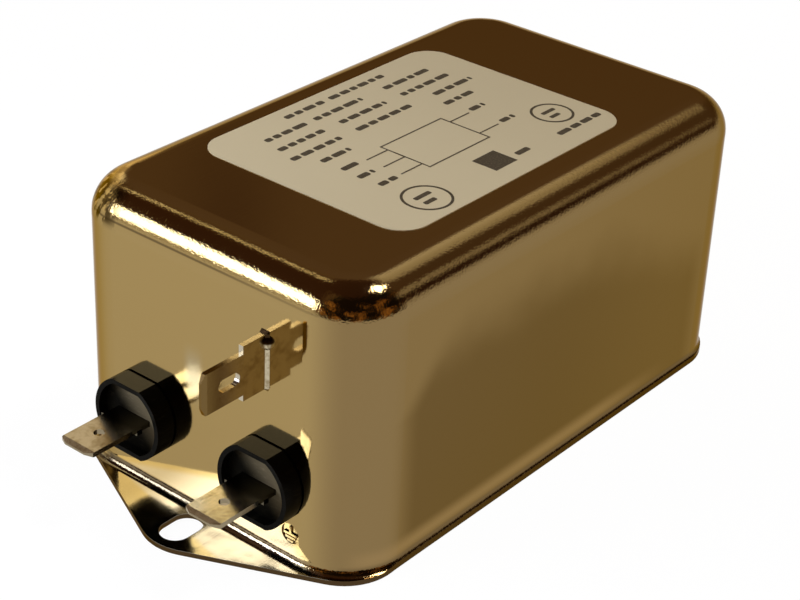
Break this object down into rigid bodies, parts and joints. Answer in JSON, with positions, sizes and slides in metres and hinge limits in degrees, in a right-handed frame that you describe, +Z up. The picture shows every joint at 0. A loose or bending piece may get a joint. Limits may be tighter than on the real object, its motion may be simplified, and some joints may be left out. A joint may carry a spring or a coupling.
{
  "type": "emi line filter",
  "caption": "EMI power line filter: choke and capacitors potted in a drawn, plated steel can with slotted mounting ears, quick-connect blades at both ends and a ground blade.",
  "frame": {"origin": "middle of the mounting plane, below the middle of the can", "axes": "+X from the line end, which has the ground blade, to the load end; +Z up, away from the panel; +Y across the can"},
  "size_m": [0.1206, 0.0562, 0.0455],
  "materials": {
    "plated_steel": "bright nickel plating, warm, near mirror",
    "cover_steel": "satin nickel plating",
    "label_film": "satin printed film",
    "tinned_brass": "bright tin plating",
    "solder": "wetted bright solder",
    "bushing_plastic": "dim gloss black",
    "liner_film": "matte",
    "potting_resin": "matte",
    "coated_ferrite": "satin coat",
    "card": "matte",
    "enamelled_copper": "clear enamel",
    "box_capacitor": "matte",
    "disc_capacitor": "lacquered",
    "resistor_body": "lacquered",
    "brown_wire": "satin insulation",
    "blue_wire": "satin insulation",
    "green_wire": "satin insulation"
  },
  "bodies": {
    "root": {"can": "plated_steel", "base_cover": "cover_steel", "label": "label_film", "earth_blade": "tinned_brass", "earth_solder": "solder", "line_bushing_1": "bushing_plastic", "line_bushing_2": "bushing_plastic", "load_bushing_1": "bushing_plastic", "load_bushing_2": "bushing_plastic", "line_blade_1": "tinned_brass", "line_blade_2": "tinned_brass", "load_blade_1": "tinned_brass", "load_blade_2": "tinned_brass", "liner": "liner_film", "resin": "potting_resin", "choke_core": "coated_ferrite", "choke_divider": "card", "choke_winding_1": "enamelled_copper", "choke_winding_2": "enamelled_copper", "x_capacitor_line": "box_capacitor", "x_capacitor_load": "box_capacitor", "y_capacitor_1": "disc_capacitor", "y_capacitor_2": "disc_capacitor", "bleed_resistor": "resistor_body", "line_lead_1": "brown_wire", "line_lead_2": "blue_wire", "load_lead_1": "brown_wire", "load_lead_2": "blue_wire", "earth_lead": "green_wire"}
  },
  "joints": []
}
